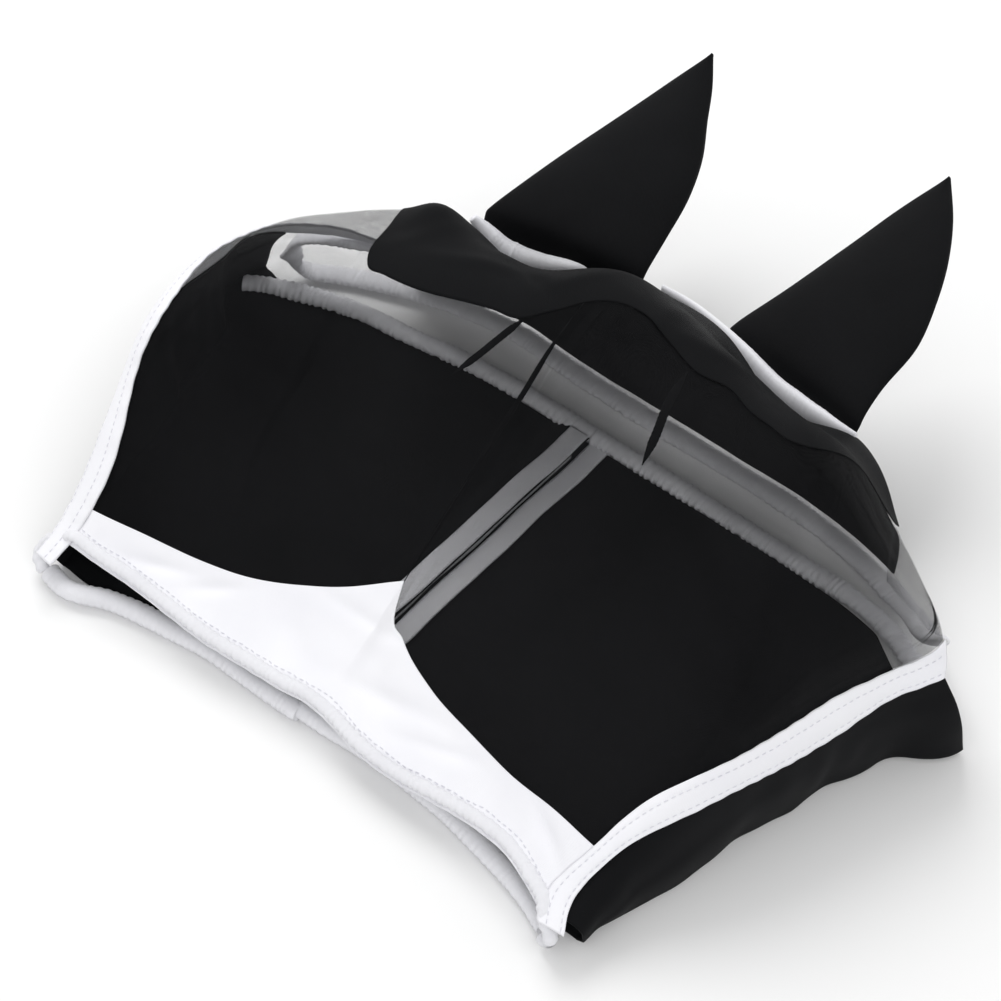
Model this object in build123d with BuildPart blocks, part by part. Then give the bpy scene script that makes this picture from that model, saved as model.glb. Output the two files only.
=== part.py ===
"""Horse fly mask at rest on its jaw side: a stretch-mesh face, Lycra panels, ear covers and a jaw closure.

Millimetres. +Z is up, +Y runs from the nose to the ears, +X is the horse's left side.
The origin is the middle of the mask's footprint, on the surface it lies on.
"""

from build123d import *
from math import cos, radians, sin
import os

# ---- driving dimensions --------------------------------------------------------------------------
NOSE = -213.0          # y of the nose reference plane; every "distance" below is measured from it
CLOTH = 2.4            # thickness of a fabric wall
TRIM_PROUD = 1.0       # how far a sewn trim stands proud of the fabric
PLATE = 2.0            # thickness of a jaw flap lying flat
GAP = 0.6              # clearance between pieces on different bodies
BINDING_R = 5.0        # outer radius of a ruched binding
CHIN_R = 5.5           # outer radius of the binding under the chin
ELASTIC_R = 2.0        # radius of the elastic inside a binding
HEM_R = 4.5            # outer radius of the binding on the poll edge
TRIM_R = 4.0           # radius of the white trim in front of each ear

HINGE_X = 165.0        # half distance between the jaw flaps' fold lines at the nose plane
HINGE_SLOPE = 0.2308   # how fast the fold lines spread towards the throat
HINGE_Z = 1.5          # height of the fold lines
CLOSURE_X = -14.0      # x of the closure's seam line
OVERLAP = 17.0         # how far the left flap reaches under the right one

CROWN_SIDE = 168.0     # half width of the crown and poll pieces
SEAM_TAPE = 3.0        # width of a seam's overlocked edge
SEAM_THICK = 1.6       # thickness of a seam's overlocked edge
TAPE = 1.4             # thickness of the hook tape and of the loop tape
FACING = 1.6           # thickness of a closure facing
MARGIN = 1.5           # thickness of the right flap's margin over the loop tape

WIDE, DEEP, HIGH = 300.0, 340.0, 200.0  # half width, distance and height beyond every piece

# ---- cross-sections of the hood: distance from the nose, then half outline (x, z) from the base up
SECTIONS = [
    (-4, [(176, 0), (181, 12), (170, 25), (120, 27), (60, 28), (0, 28)]),
    (35, [(184, 0), (187, 22), (174, 42), (120, 39), (60, 33), (0, 31)]),
    (70, [(193, 0), (197, 32), (184, 64), (130, 64), (60, 50), (0, 47)]),
    (105, [(201, 0), (206, 42), (192, 90), (140, 96), (60, 74), (0, 70)]),
    (140, [(211, 0), (216, 46), (200, 100), (145, 121), (60, 98), (0, 93)]),
    (175, [(224, 0), (227, 48), (208, 106), (145, 132), (60, 120), (0, 116)]),
    (210, [(252, 0), (246, 50), (214, 108), (150, 140), (60, 142), (0, 141)]),
    (245, [(246, 0), (236, 40), (200, 80), (140, 120), (60, 143), (0, 145)]),
    (275, [(232, 0), (222, 24), (184, 46), (126, 84), (60, 108), (0, 113)]),
    (315, [(214, 0), (200, 14), (160, 30), (112, 52), (60, 64), (0, 68)]),
]
# ---- plan of the rear edge: half outline (x, distance) from the side corner to the middle
REAR_EDGE = [(256, 206), (236, 231), (208, 254), (171, 277), (124, 292), (60, 303), (0, 306)]
# ---- seams of the face, seen from above: half outlines (x, distance)
NOSE_SEAM = [(0, 83), (16, 65), (46, 54), (75, 48), (105, 43), (137, 40), (210, 34)]
BROW_SEAM = [(0, 222), (40, 217), (80, 215), (120, 217), (CROWN_SIDE, 238)]
# ---- cheek trim seen from the side: (distance, lower edge z, upper edge z)
CHEEK_TRIM = [(-12, 14, 25), (0, 16, 28), (35, 28, 43), (75, 36, 54), (110, 38, 54), (150, 38, 57),
              (186, 48, 68), (206, 61, 80), (240, 76, 95)]
# ---- plan line inside which the face begins: (x, distance)
SIDE_LINE = [(164, -12), (164, 0), (166, 35), (172, 70), (180, 105), (190, 150), (200, 206), (200, 260)]
# ---- front edge of the nose band from above: half outline (x, distance)
NOSE_EDGE = [(0, 8), (50, 7), (105, 2), (150, -3), (178, -6), (210, -6)]
# ---- lower edge of the rear wall seen from behind: (x, z)
POLL_EDGE = [(0, 9.5), (186, 9.5), (214, 40), (244, 78)]

# ---- ears: base corners and tip of each, as (x, distance, z); inner corner, outer corner, tip
EAR_INNER, EAR_OUTER, EAR_TIP = (30, 311, 73), (124, 292, 80), (79, 436, 123)
EAR_START = 5.0        # gap along the ear between its hinge line and its cloth
# per ear: (height above the base, inner edge, outer edge) measured along the base from its middle
EAR_LEFT = [(0, 47, 47), (35, 39, 42), (72, 33, 32), (106, 27, 13), (137, 21.5, -19.5)]
EAR_RIGHT = [(0, 48, 47), (35, 50, 31), (72, 48, 13), (106, 36, -4), (137, 22.0, -20)]
EAR_HALF_THICK = [6.5, 11.0, 9.0, 5.5, 2.4]
EAR_CLOTH = 1.4        # thickness of an ear's fabric
EAR_MOUTH = (84, 8, 14)  # opening of the hood into an ear: width, height, depth in front of the base


def y(distance):
    """Row-frame y of a distance from the nose."""
    return NOSE + distance


def hinge_x(distance):
    """Half distance between the two fold lines at a distance from the nose."""
    return HINGE_X + HINGE_SLOPE * distance


def mirrored(half):
    """A half outline from the side to the middle, continued to the other side."""
    return [(-a, b) for a, b in half] + [(a, b) for a, b in reversed(half) if a > 0]


def finish(builder, name):
    """Labels a finished piece and writes its STEP file."""
    builder.part.label = name
    export_step(builder.part, f"parts/{name}.step")


# ---- the hood's envelope -------------------------------------------------------------------------
def envelope(inset, floor, reach):
    """Solid inside the hood's outer surface moved in by inset; floor is its underside's z."""
    with BuildPart() as body:
        for index, (distance, half) in enumerate(SECTIONS):
            top = max(z for _, z in half)
            wide = half[0][0]
            points = [(a * (wide - inset) / wide, b * (top - inset) / top) for a, b in mirrored(half)]
            start = distance - reach if index == 0 else distance
            with BuildSketch(Plane.XZ.offset(-y(start))):
                with BuildLine():
                    Spline(*points)
                    if floor < 0:
                        Polyline(points[-1], (points[-1][0], floor), (points[0][0], floor), points[0])
                    else:
                        Line(points[-1], points[0])
                make_face()
        loft(ruled=True)
    return body.part


def footprint(inset):
    """Prism over the plan of the hood, cut along the rear edge moved in by inset."""
    with BuildPart() as prism:
        with BuildSketch(Plane.XY.offset(-20)):
            with BuildLine():
                edge = [(a * (DEEP - inset) / DEEP, y(b) - inset) for a, b in REAR_EDGE]
                Spline(*([(a, b) for a, b in edge] + [(-a, b) for a, b in reversed(edge[:-1])]))
                corner = edge[0]
                Polyline((-corner[0], corner[1]), (-WIDE, corner[1]), (-WIDE, y(-40)), (WIDE, y(-40)),
                         (WIDE, corner[1]), corner)
            make_face()
        extrude(amount=20 + HIGH)
    return prism.part


def side_band(lower, upper):
    """Block that keeps what lies between two lines of the side view; each is (distance, z) points."""
    with BuildPart() as band:
        with BuildSketch(Plane.YZ.offset(-WIDE)):
            with BuildLine():
                Polyline(*[(y(d), z) for d, z in lower], *[(y(d), z) for d, z in reversed(upper)],
                         close=True)
            make_face()
        extrude(amount=2 * WIDE)
    return band.part


def plan_region(points):
    """Block over a closed region of the plan; points are (x, distance)."""
    with BuildPart() as block:
        with BuildSketch(Plane.XY.offset(-5)):
            with BuildLine():
                Polyline(*[(a, y(b)) for a, b in points], close=True)
            make_face()
        extrude(amount=HIGH)
    return block.part


def half_space(side):
    """Block on one side of the mirror plane: side is 1 or -1."""
    return plan_region([(0, -DEEP), (side * WIDE, -DEEP), (side * WIDE, DEEP), (0, DEEP)])


def side_zone(side):
    """Block over the plan outside the line where the face begins."""
    return plan_region([(side * a, b) for a, b in SIDE_LINE]
                       + [(side * WIDE, SIDE_LINE[-1][1]), (side * WIDE, SIDE_LINE[0][1])])


def under_line(line):
    """Block under a line of the side view, carried on level in front of it and behind it."""
    level = [(-60, line[0][1])] + line + [(DEEP, line[-1][1])]
    return side_band([(-60, -30), (DEEP, -30)], level)


def cut(base, keep=(), remove=()):
    """base without what lies outside each block of keep or inside each block of remove."""
    with BuildPart() as piece:
        add(base)
        for block in keep:
            add(block, mode=Mode.INTERSECT)
        for block in remove:
            add(block, mode=Mode.SUBTRACT)
    return piece


# ---- tubes, elastics and strips ------------------------------------------------------------------
def tube(points, radius, bore=0.0):
    """Round binding along straight runs joined by arcs; points are (x, distance, z)."""
    route = [Vector(a, y(b), c) for a, b, c in points]
    bends = []
    for before, corner, after in zip(route, route[1:], route[2:]):
        turn = radians((corner - before).get_angle(after - corner))
        shorter = min((corner - before).length, (after - corner).length)
        bends.append(0.42 * shorter * cos(turn / 2) / sin(turn / 2))
    with BuildPart() as made:
        with BuildLine() as path:
            FilletPolyline(*route, radius=bends)
        start = Plane(origin=path.line @ 0, z_dir=path.line % 0)
        with BuildSketch(start):
            Circle(radius)
            if bore:
                Circle(bore, mode=Mode.SUBTRACT)
        sweep()
    return made


def bound_edge(name, elastic_name, points, radius):
    """A ruched binding and the elastic that runs inside it."""
    finish(tube(points, radius, bore=ELASTIC_R + 0.3), name)
    finish(tube(points, ELASTIC_R), elastic_name)


def strip_between(start, end, width, thick):
    """Flat strip from start to end, both (x, distance, z), lying across the line's own slope."""
    first, last = Vector(start[0], y(start[1]), start[2]), Vector(end[0], y(end[1]), end[2])
    along = last - first
    with BuildPart() as strip:
        across = Vector(-along.Y, along.X, 0)
        with BuildSketch(Plane(origin=first, x_dir=across, z_dir=along)):
            Rectangle(width, thick)
        extrude(amount=along.length)
    return strip


# ---- jaw flaps -----------------------------------------------------------------------------------
def throat_route(side, inner_x):
    """Line of a flap's throat binding, from the closure out to the fold line."""
    outer = [(60, 254), (126, 249), (172, 244), (hinge_x(236) - 8, 236)]
    return [(inner_x, 256, BINDING_R)] + [(side * a, b, BINDING_R) for a, b in outer]


def chin_route(side, inner_x):
    """Line of a flap's binding under the chin, from the closure out to the nose corner."""
    outer = [(60, 16), (105, 11), (138, 5), (hinge_x(-1) - 5, -2)]
    return [(inner_x, 17, CHIN_R)] + [(side * a, b, CHIN_R) for a, b in outer]


def flap_outline(side, inner_x):
    """Plan of a flap's cloth, between its bindings, its fold line and the closure."""
    front = [(inner_x, 23.5), (side * 60, 22.5), (side * 105, 17.5), (side * 138, 12), (side * 155, 9)]
    rear = [(side * 172, 237.5), (side * 126, 242.5), (side * 60, 247.5), (inner_x, 249)]
    fold = [(side * (hinge_x(d) - 3), d) for d in (7, 229)]
    return front + fold + rear


def flap_plate(side, inner_x):
    """A flap's cloth, lying on the surface."""
    with BuildPart() as plate:
        with BuildSketch():
            with BuildLine():
                Polyline(*[(a, y(b)) for a, b in flap_outline(side, inner_x)], close=True)
            make_face()
        extrude(amount=PLATE)
    return plate


def box_between(low, high):
    """Box from its lowest to its highest corner, as (x, distance, z)."""
    size = [b - a for a, b in zip(low, high)]
    middle = [(a + b) / 2 for a, b in zip(low, high)]
    with BuildPart() as made:
        with Locations((middle[0], y(middle[1]), middle[2])):
            Box(*size)
    return made


def jaw_flaps():
    """Both jaw flaps with their bindings, closure facings and hook-and-loop tapes."""
    left_edge = CLOSURE_X - OVERLAP
    right_edge = left_edge - 1.5
    hook_z = PLATE + TAPE
    loop_z = hook_z + GAP
    margin_low = loop_z + TAPE
    margin_high = margin_low + MARGIN
    front, rear = 36.0, 236.0
    finish(flap_plate(1, left_edge), "jaw_flap_left")
    finish(box_between((left_edge + 2, front, PLATE), (CLOSURE_X - 1, rear, hook_z)), "hook_tape")
    finish(box_between((left_edge + 2, front, loop_z), (CLOSURE_X - 1, rear, margin_low)), "loop_tape")
    finish(box_between((CLOSURE_X + 2, 25, PLATE), (CLOSURE_X + 14, 247, PLATE + FACING)),
           "closure_facing_left")
    with BuildPart() as right_flap:
        add(flap_plate(-1, right_edge).part)
        add(box_between((right_edge - 5, 25, PLATE), (right_edge, 247, margin_high)).part)
        add(box_between((right_edge, 25, margin_low), (CLOSURE_X, 247, margin_high)).part)
    finish(right_flap, "jaw_flap_right")
    finish(box_between((CLOSURE_X - 12, 25, margin_high), (CLOSURE_X, 247, margin_high + FACING)),
           "closure_facing_right")
    for side, word, inner_x in ((1, "left", CLOSURE_X + 1.5), (-1, "right", CLOSURE_X)):
        bound_edge(f"chin_binding_{word}", f"chin_elastic_{word}", chin_route(side, inner_x), CHIN_R)
        bound_edge(f"throat_binding_{word}", f"throat_elastic_{word}", throat_route(side, inner_x),
                   BINDING_R)


# ---- ears ----------------------------------------------------------------------------------------
def ear_plane(side):
    """Plane of an ear at its base: x along the base towards +X, y towards the tip, z up."""
    inner, outer, tip = (Vector(side * a, y(b), c) for a, b, c in (EAR_INNER, EAR_OUTER, EAR_TIP))
    middle = (inner + outer) * 0.5
    along_base = (outer - inner).normalized() * side
    face = along_base.cross(tip - middle).normalized()
    return Plane(origin=middle, x_dir=along_base, z_dir=face)


def ear_pouch(side, stations, inset):
    """Lens-shaped solid of an ear cover moved in by inset."""
    base = ear_plane(side)
    with BuildPart() as pouch:
        for index, ((height, inner, outer), half_thick) in enumerate(zip(stations, EAR_HALF_THICK)):
            lift = EAR_START + height
            if inset and index == 0:
                lift -= 2
            if inset and index == len(stations) - 1:
                lift -= 4 * inset
            low, high = (-inner, outer) if side > 0 else (-outer, inner)
            left, right, thick = low + 2 * inset, high - 2 * inset, half_thick - inset
            if right - left < 1:
                left, right = (left + right) / 2 - 0.5, (left + right) / 2 + 0.5
            middle = (left + right) / 2
            with BuildSketch(Plane(origin=base.from_local_coords(Vector(0, lift, 0)),
                                   x_dir=base.x_dir, z_dir=base.y_dir)):
                with BuildLine():
                    ThreePointArc((left, 0), (middle, thick), (right, 0))
                    ThreePointArc((right, 0), (middle, -thick), (left, 0))
                make_face()
        loft()
    return pouch.part


def ear(side, word, stations):
    """An ear cover: a front and a back half, sewn together along their edges, hollow inside."""
    base = ear_plane(side)
    with BuildPart() as hollow:
        add(ear_pouch(side, stations, 0))
        add(ear_pouch(side, stations, EAR_CLOTH), mode=Mode.SUBTRACT)
    for half, keep in (("front", Keep.TOP), ("back", Keep.BOTTOM)):
        with BuildPart() as piece:
            add(hollow.part)
            split(bisect_by=base, keep=keep)
        finish(piece, f"ear_{word}_{half}")


def ear_slot(side):
    """Block that opens the hood into an ear cover."""
    base = ear_plane(side)
    width, height, depth = EAR_MOUTH
    with BuildPart() as slot:
        with BuildSketch(Plane(origin=base.from_local_coords(Vector(0, -depth, 0)),
                               x_dir=base.x_dir, z_dir=base.y_dir)):
            Rectangle(width, height)
        extrude(amount=depth + EAR_START)
    return slot.part


def ear_trim_route(side):
    """Line of the white trim in front of an ear."""
    base = ear_plane(side)
    points = [base.from_local_coords(Vector(a, b, c)) for a, b, c in
              ((-46, -7, 6), (-15, -9, 9), (18, -9, 9), (46, -7, 5))]
    return [(p.X, p.Y - NOSE, p.Z) for p in points]


# ---- the mask ------------------------------------------------------------------------------------
def nose_line():
    """Line of the binding round the top and the corners of the nose opening."""
    half = [(178, -6, 3), (177, -6, 19), (150, -3, 23), (105, 2, 24), (50, 7, 25)]
    return half + [(-a, b, c) for a, b, c in reversed(half)]


def poll_line():
    """Line of the binding on the rear edge, from one cheek trim round the poll to the other."""
    half = [(241, 225, 74), (214, 249, 37), (190, 266, 10), (168, 275, HEM_R), (124, 288, HEM_R),
            (60, 299, HEM_R)]
    return half + [(-a, b, c) for a, b, c in reversed(half)]


def above_poll_edge():
    """Block over what the rear wall covers, above its lower edge."""
    top = POLL_EDGE[-1][1]
    with BuildPart() as block:
        with BuildSketch(Plane.XZ.offset(-y(DEEP))):
            with BuildLine():
                Polyline(*mirrored(POLL_EDGE[::-1]), (WIDE, top), (WIDE, HIGH), (-WIDE, HIGH),
                         (-WIDE, top), close=True)
            make_face()
        extrude(amount=HIGH)
    return block.part


def jaw_side(side, roof, outer, plan_in, below, rims):
    """One standing jaw side with the hem that folds in under the mask."""
    front, rear = 3, 209
    hem_plan = plan_region([(side * (hinge_x(front) + 3.5), front), (side * WIDE, front),
                            (side * WIDE, rear), (side * (hinge_x(rear) + 3.5), rear)])
    hem_layer = side_band([(-60, 0), (DEEP, 0)], [(-60, PLATE), (DEEP, PLATE)])
    with BuildPart() as jaw:
        add(cut(roof, keep=[side_zone(side), below], remove=rims).part)
        add(cut(outer, keep=[plan_in, hem_plan, hem_layer], remove=rims).part)
    return jaw


def sewn_panels(roof, wall, skirts, rims, trims):
    """Nose band, crown band, poll panel and the mesh over each eye."""
    seam = mirrored(NOSE_SEAM[::-1])
    corner = NOSE_SEAM[-1][1]
    ahead = plan_region(mirrored(NOSE_EDGE[::-1]) + [(WIDE, NOSE_EDGE[-1][1]), (WIDE, corner)]
                        + seam[::-1] + [(-WIDE, corner), (-WIDE, NOSE_EDGE[-1][1])])
    behind = plan_region(seam + [(WIDE, corner), (WIDE, DEEP), (-WIDE, DEEP), (-WIDE, corner)])
    crown = plan_region([(-CROWN_SIDE, DEEP)] + mirrored(BROW_SEAM[::-1]) + [(CROWN_SIDE, DEEP)])
    poll = plan_region([(-CROWN_SIDE, 200), (CROWN_SIDE, 200), (CROWN_SIDE, DEEP), (-CROWN_SIDE, DEEP)])
    mouths = [ear_slot(1), ear_slot(-1)] + trims
    finish(cut(roof, keep=[ahead], remove=skirts + rims), "nose_band")
    finish(cut(roof, keep=[crown], remove=skirts + mouths), "crown_band")
    finish(cut(wall, keep=[poll], remove=mouths + rims), "poll_panel")
    for side, word in ((1, "left"), (-1, "right")):
        own = half_space(side)
        with BuildPart() as mesh:
            add(cut(roof, keep=[own, behind], remove=[crown] + skirts + rims).part)
            add(cut(wall, keep=[own], remove=[poll] + rims).part)
        finish(mesh, f"eye_mesh_{word}")


def hood():
    """Every sewn panel and trim of the hood, and the bindings of its two edges."""
    outer, proud = envelope(0, 0, 0), envelope(-TRIM_PROUD, 0, 0)
    inner = envelope(CLOTH, -30, 4)
    plan_out, plan_in = footprint(0), footprint(CLOTH)
    roof = cut(outer, keep=[plan_in], remove=[inner]).part
    proud_roof = cut(proud, keep=[plan_in], remove=[inner]).part
    wall = cut(outer, keep=[plan_out, above_poll_edge()], remove=[plan_in]).part

    lower = [(d, low) for d, low, _ in CHEEK_TRIM]
    upper = [(d, high) for d, _, high in CHEEK_TRIM]
    rims = [tube(nose_line(), BINDING_R).part, tube(poll_line(), HEM_R).part]
    trims = {side: tube(ear_trim_route(side), TRIM_R) for side in (1, -1)}
    skirts = [cut(side_zone(side), keep=[under_line(upper)]).part for side in (1, -1)]
    sewn_panels(roof, wall, skirts, rims, [trims[1].part, trims[-1].part])
    for side, word in ((1, "left"), (-1, "right")):
        trim = cut(proud_roof, keep=[side_zone(side), side_band(lower, upper)], remove=rims)
        finish(trim, f"cheek_trim_{word}")
        finish(jaw_side(side, roof, outer, plan_in, under_line(lower), rims), f"jaw_side_{word}")
        finish(trims[side], f"ear_trim_{word}")
    bound_edge("nose_binding", "nose_elastic", nose_line(), BINDING_R)
    bound_edge("poll_binding", "poll_elastic", poll_line(), HEM_R)


def face_seams():
    """The overlocked seams inside the mesh: the middle seam and one dart over each eye."""
    finish(strip_between((0, 88, 53), (0, 205, 132.5), SEAM_TAPE, SEAM_THICK), "face_seam")
    for side, word in ((1, "left"), (-1, "right")):
        dart = strip_between((side * 70, 172, 112), (side * 52, 206, 133), SEAM_TAPE, SEAM_THICK)
        finish(dart, f"brow_dart_{word}")


os.makedirs("parts", exist_ok=True)
hood()
face_seams()
jaw_flaps()
ear(1, "left", EAR_LEFT)
ear(-1, "right", EAR_RIGHT)
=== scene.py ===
import math

import bpy
import numpy as np
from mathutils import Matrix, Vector, noise


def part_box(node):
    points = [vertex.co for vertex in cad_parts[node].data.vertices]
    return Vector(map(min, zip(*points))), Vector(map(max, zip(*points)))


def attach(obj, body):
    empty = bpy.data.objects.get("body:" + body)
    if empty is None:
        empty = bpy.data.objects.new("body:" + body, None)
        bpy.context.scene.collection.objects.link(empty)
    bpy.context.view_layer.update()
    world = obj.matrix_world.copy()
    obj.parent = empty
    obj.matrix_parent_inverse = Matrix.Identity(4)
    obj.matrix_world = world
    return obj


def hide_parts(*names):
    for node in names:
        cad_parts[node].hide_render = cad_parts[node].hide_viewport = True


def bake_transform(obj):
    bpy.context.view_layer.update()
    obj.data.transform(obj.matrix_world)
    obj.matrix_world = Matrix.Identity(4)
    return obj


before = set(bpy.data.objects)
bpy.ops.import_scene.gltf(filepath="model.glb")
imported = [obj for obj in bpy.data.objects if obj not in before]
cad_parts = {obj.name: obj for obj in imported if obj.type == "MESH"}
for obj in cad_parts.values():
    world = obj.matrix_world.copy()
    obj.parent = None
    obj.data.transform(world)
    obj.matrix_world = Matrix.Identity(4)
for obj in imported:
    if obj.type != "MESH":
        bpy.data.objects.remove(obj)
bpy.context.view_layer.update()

# Shapes are worked out in millimetres: x across the mask, d the distance from the nose, z up.
MM = 0.001
HOOK_START = 36.0                                   # distance at which the hook tape starts
NOSE_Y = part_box("hook_tape")[0][1] / MM - HOOK_START  # y of the nose, in millimetres

# ---- half outlines of the hood across the face, base to middle, at distances from the nose --------
STATIONS = [-8, 12, 35, 70, 105, 140, 175, 210, 240, 275, 318]
LEFT_HALF = [[(169, 0), (176, 8), (172, 20), (118, 18), (60, 16), (0, 15)],
             [(174, 0), (180, 12), (172, 27), (120, 22), (60, 18), (0, 17)],
             [(183, 0), (186, 20), (174, 42), (120, 34), (60, 26), (0, 24)],
             [(193, 0), (197, 30), (184, 66), (130, 64), (60, 48), (0, 45)],
             [(201, 0), (206, 40), (192, 92), (140, 98), (60, 74), (0, 69)],
             [(211, 0), (216, 44), (200, 104), (145, 124), (60, 98), (0, 92)],
             [(228, 0), (228, 48), (208, 108), (145, 135), (60, 120), (0, 115)],
             [(254, 0), (246, 50), (212, 98), (150, 141), (60, 139), (0, 138)],
             [(250, 0), (222, 38), (186, 84), (142, 128), (60, 143), (0, 143)],
             [(215, 0), (186, 18), (162, 52), (124, 80), (60, 104), (0, 111)],
             [(200, 0), (180, 10), (150, 26), (112, 46), (60, 60), (0, 66)]]
# the right half differs where it sags: behind the eye it lies lower and further in
RIGHT_HALF = LEFT_HALF[:5] + [[(211, 0), (214, 44), (198, 100), (145, 123), (60, 98), (0, 92)],
                              [(226, 0), (224, 44), (200, 96), (145, 133), (60, 120), (0, 115)],
                              [(250, 0), (238, 42), (196, 86), (146, 121), (60, 138), (0, 138)],
                              [(246, 0), (220, 34), (178, 74), (130, 112), (88, 127), (0, 143)],
                              [(215, 0), (186, 18), (158, 38), (112, 56), (50, 80), (0, 111)],
                              [(200, 0), (180, 10), (150, 20), (112, 34), (60, 52), (0, 66)]]
# soft swells and hollows: (x, distance, half width across, half width along, rise)
SWELLS = [(-48, 250, 26, 20, -15), (-108, 238, 14, 16, 8), (-73, 247, 12, 14, -6), (0, 262, 30, 24, 6),
          (78, 303, 30, 36, -20), (112, 250, 24, 20, -10), (128, 288, 22, 26, 12), (150, 282, 16, 20, 8)]
REAR_EDGE = [(0, 308), (60, 304), (124, 292), (168, 270), (190, 253), (212, 231), (237, 202), (256, 190)]

# ---- seams seen from above, (x, distance) --------------------------------------------------------
NOSE_FRONT = [(-182, 4), (-173, 5), (-149, 6), (-121, 8), (-99, 8), (-72, 8), (-47, 10), (-22, 12), (-6, 14),
              (8, 13), (30, 9), (56, 8), (80, 10), (107, 11), (127, 9), (146, 2), (162, -5), (178, -8)]
NOSE_SEAM = {-1: [(-200, 24), (-164, 26), (-130, 33), (-100, 39), (-72, 47), (-46, 58), (-24, 69), (-5, 81),
                  (0, 84)],
             1: [(0, 84), (5, 71), (16, 64), (45, 53), (76, 46), (106, 40), (134, 37), (164, 32), (200, 30)]}
BROW_SEAM = [(-168, 268), (-158, 262), (-148, 254), (-138, 245), (-128, 232), (-120, 211), (-114, 191),
             (-108, 182), (-98, 183), (-82, 186), (-55, 193), (-38, 197), (-20, 202), (-12, 210), (3, 225),
             (14, 231), (27, 233), (50, 227), (72, 221), (92, 222), (106, 217), (119, 215), (134, 214),
             (145, 221), (154, 237), (161, 256), (168, 268)]
CROWN_SIDE = 168.0
# ---- edges of the cheek trims as (distance, q), for the right (-1) and the left (1) side ----------
TRIM_UPPER = {-1: [(-10, 0.56), (27, 0.557), (65, 0.56), (81, 0.575), (124, 0.56), (152, 0.57), (185, 0.6),
                   (245, 0.64)],
              1: [(-10, 0.55), (8, 0.525), (33, 0.55), (59, 0.565), (98, 0.655), (148, 0.685), (183, 0.7),
                  (205, 0.69), (245, 0.69)]}
TRIM_LOWER = {-1: [(-10, 0.66), (27, 0.66), (65, 0.67), (124, 0.68), (185, 0.71), (245, 0.73)],
              1: [(-10, 0.64), (4, 0.59), (35, 0.6), (70, 0.67), (102, 0.735), (142, 0.76), (180, 0.755),
                  (199, 0.75), (245, 0.745)]}
# ---- lines of the bindings: (x, distance, z) ------------------------------------------------------
POLL_BACK = [(-168, 273), (-153, 278), (-122, 285), (-91, 288), (-60, 286), (0, 284), (60, 284), (105, 283),
             (141, 278), (168, 271)]
POLL_CORNER = {-1: [(-217, 239, 40), (-225, 240, 18), (-221, 247, 7), (-206, 257, 5), (-187, 266, 5)],
               1: [(221, 228, 48), (207, 246, 22), (190, 261, 9)]}
POLL_Z = 5.0
THROAT_LINE = {-1: [(-14, 255), (-60, 255), (-109, 252), (-141, 247), (-176, 243), (-213, 232), (-235, 223),
                    (-244, 217)],
               1: [(-13, 255), (60, 255), (126, 254), (160, 253), (185, 248), (203, 240), (222, 229),
                   (236, 220)]}
CHIN_LINE = {1: [(-13, 17), (11, 18), (25, 19), (57, 20), (71, 19), (91, 17), (114, 13), (130, 10), (147, 5),
                 (160, 0)],
             -1: [(-172, -3), (-158, -5), (-135, 4), (-94, 12), (-72, 15), (-43, 15), (-11, 16)]}
# how the nose binding turns down at the two corners of the opening
NOSE_CORNER = {-1: [(-174, -5, 7), (-181, -1, 12), (-180, 6, 18), (-173, 9, 23)],
               1: [(163, -4, 21), (168, -6, 14), (167, -6, 8), (162, -4, 5)]}

BLACK = (0.004, 0.0042, 0.0048)


# ---- smooth interpolation ------------------------------------------------------------------------
def weights(knots, at):
    """Rows of weights that carry values at the knots smoothly to other places."""
    knots = np.asarray(knots, float)
    at = np.clip(np.asarray(at, float).ravel(), knots[0], knots[-1])
    last = len(knots) - 1
    slope = np.zeros((last + 1, last + 1))
    for i in range(last + 1):
        if 0 < i < last:
            before, after = knots[i] - knots[i - 1], knots[i + 1] - knots[i]
            slope[i, i - 1] = -after / (before * (before + after))
            slope[i, i] = (after - before) / (before * after)
            slope[i, i + 1] = before / (after * (before + after))
        else:
            a, b = (0, 1) if i == 0 else (last - 1, last)
            slope[i, b] = 1 / (knots[b] - knots[a])
            slope[i, a] = -slope[i, b]
    cell = np.clip(np.searchsorted(knots, at, side="right") - 1, 0, last - 1)
    step = knots[cell + 1] - knots[cell]
    s = (at - knots[cell]) / step
    rows = np.arange(len(at))
    result = np.zeros((len(at), last + 1))
    result[rows, cell] += 2 * s**3 - 3 * s**2 + 1
    result[rows, cell + 1] += 3 * s**2 - 2 * s**3
    result += ((s**3 - 2 * s**2 + s) * step)[:, None] * slope[cell]
    result += ((s**3 - s**2) * step)[:, None] * slope[cell + 1]
    return result


def through(points, at):
    """Smooth curve through (place, value) points, at other places."""
    table = np.asarray(points, float)
    at = np.asarray(at, float)
    return (weights(table[:, 0], at) @ table[:, 1]).reshape(at.shape)


def smooth_path(points, step):
    """Points about a step apart along a smooth curve through the given ones."""
    points = np.asarray(points, float)
    gaps = np.linalg.norm(np.diff(points, axis=0), axis=1)
    along = np.concatenate([[0], np.cumsum(gaps)])
    count = max(int(along[-1] / step), 2)
    fine = weights(along, np.linspace(0, along[-1], 8 * count)) @ points
    run = np.concatenate([[0], np.cumsum(np.linalg.norm(np.diff(fine, axis=0), axis=1))])
    at = np.linspace(0, run[-1], count)
    return np.stack([np.interp(at, run, fine[:, k]) for k in range(3)], axis=1)


def mixed(a, b, share):
    return a + (b - a) * share


# ---- the hood's surface --------------------------------------------------------------------------
def outline_table():
    """Cross-sections as points from the right fold line over the face to the left one."""
    return np.array([[(-x, z) for x, z in right] + [(x, z) for x, z in reversed(left[:-1])]
                     for left, right in zip(LEFT_HALF, RIGHT_HALF)], float)


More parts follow.
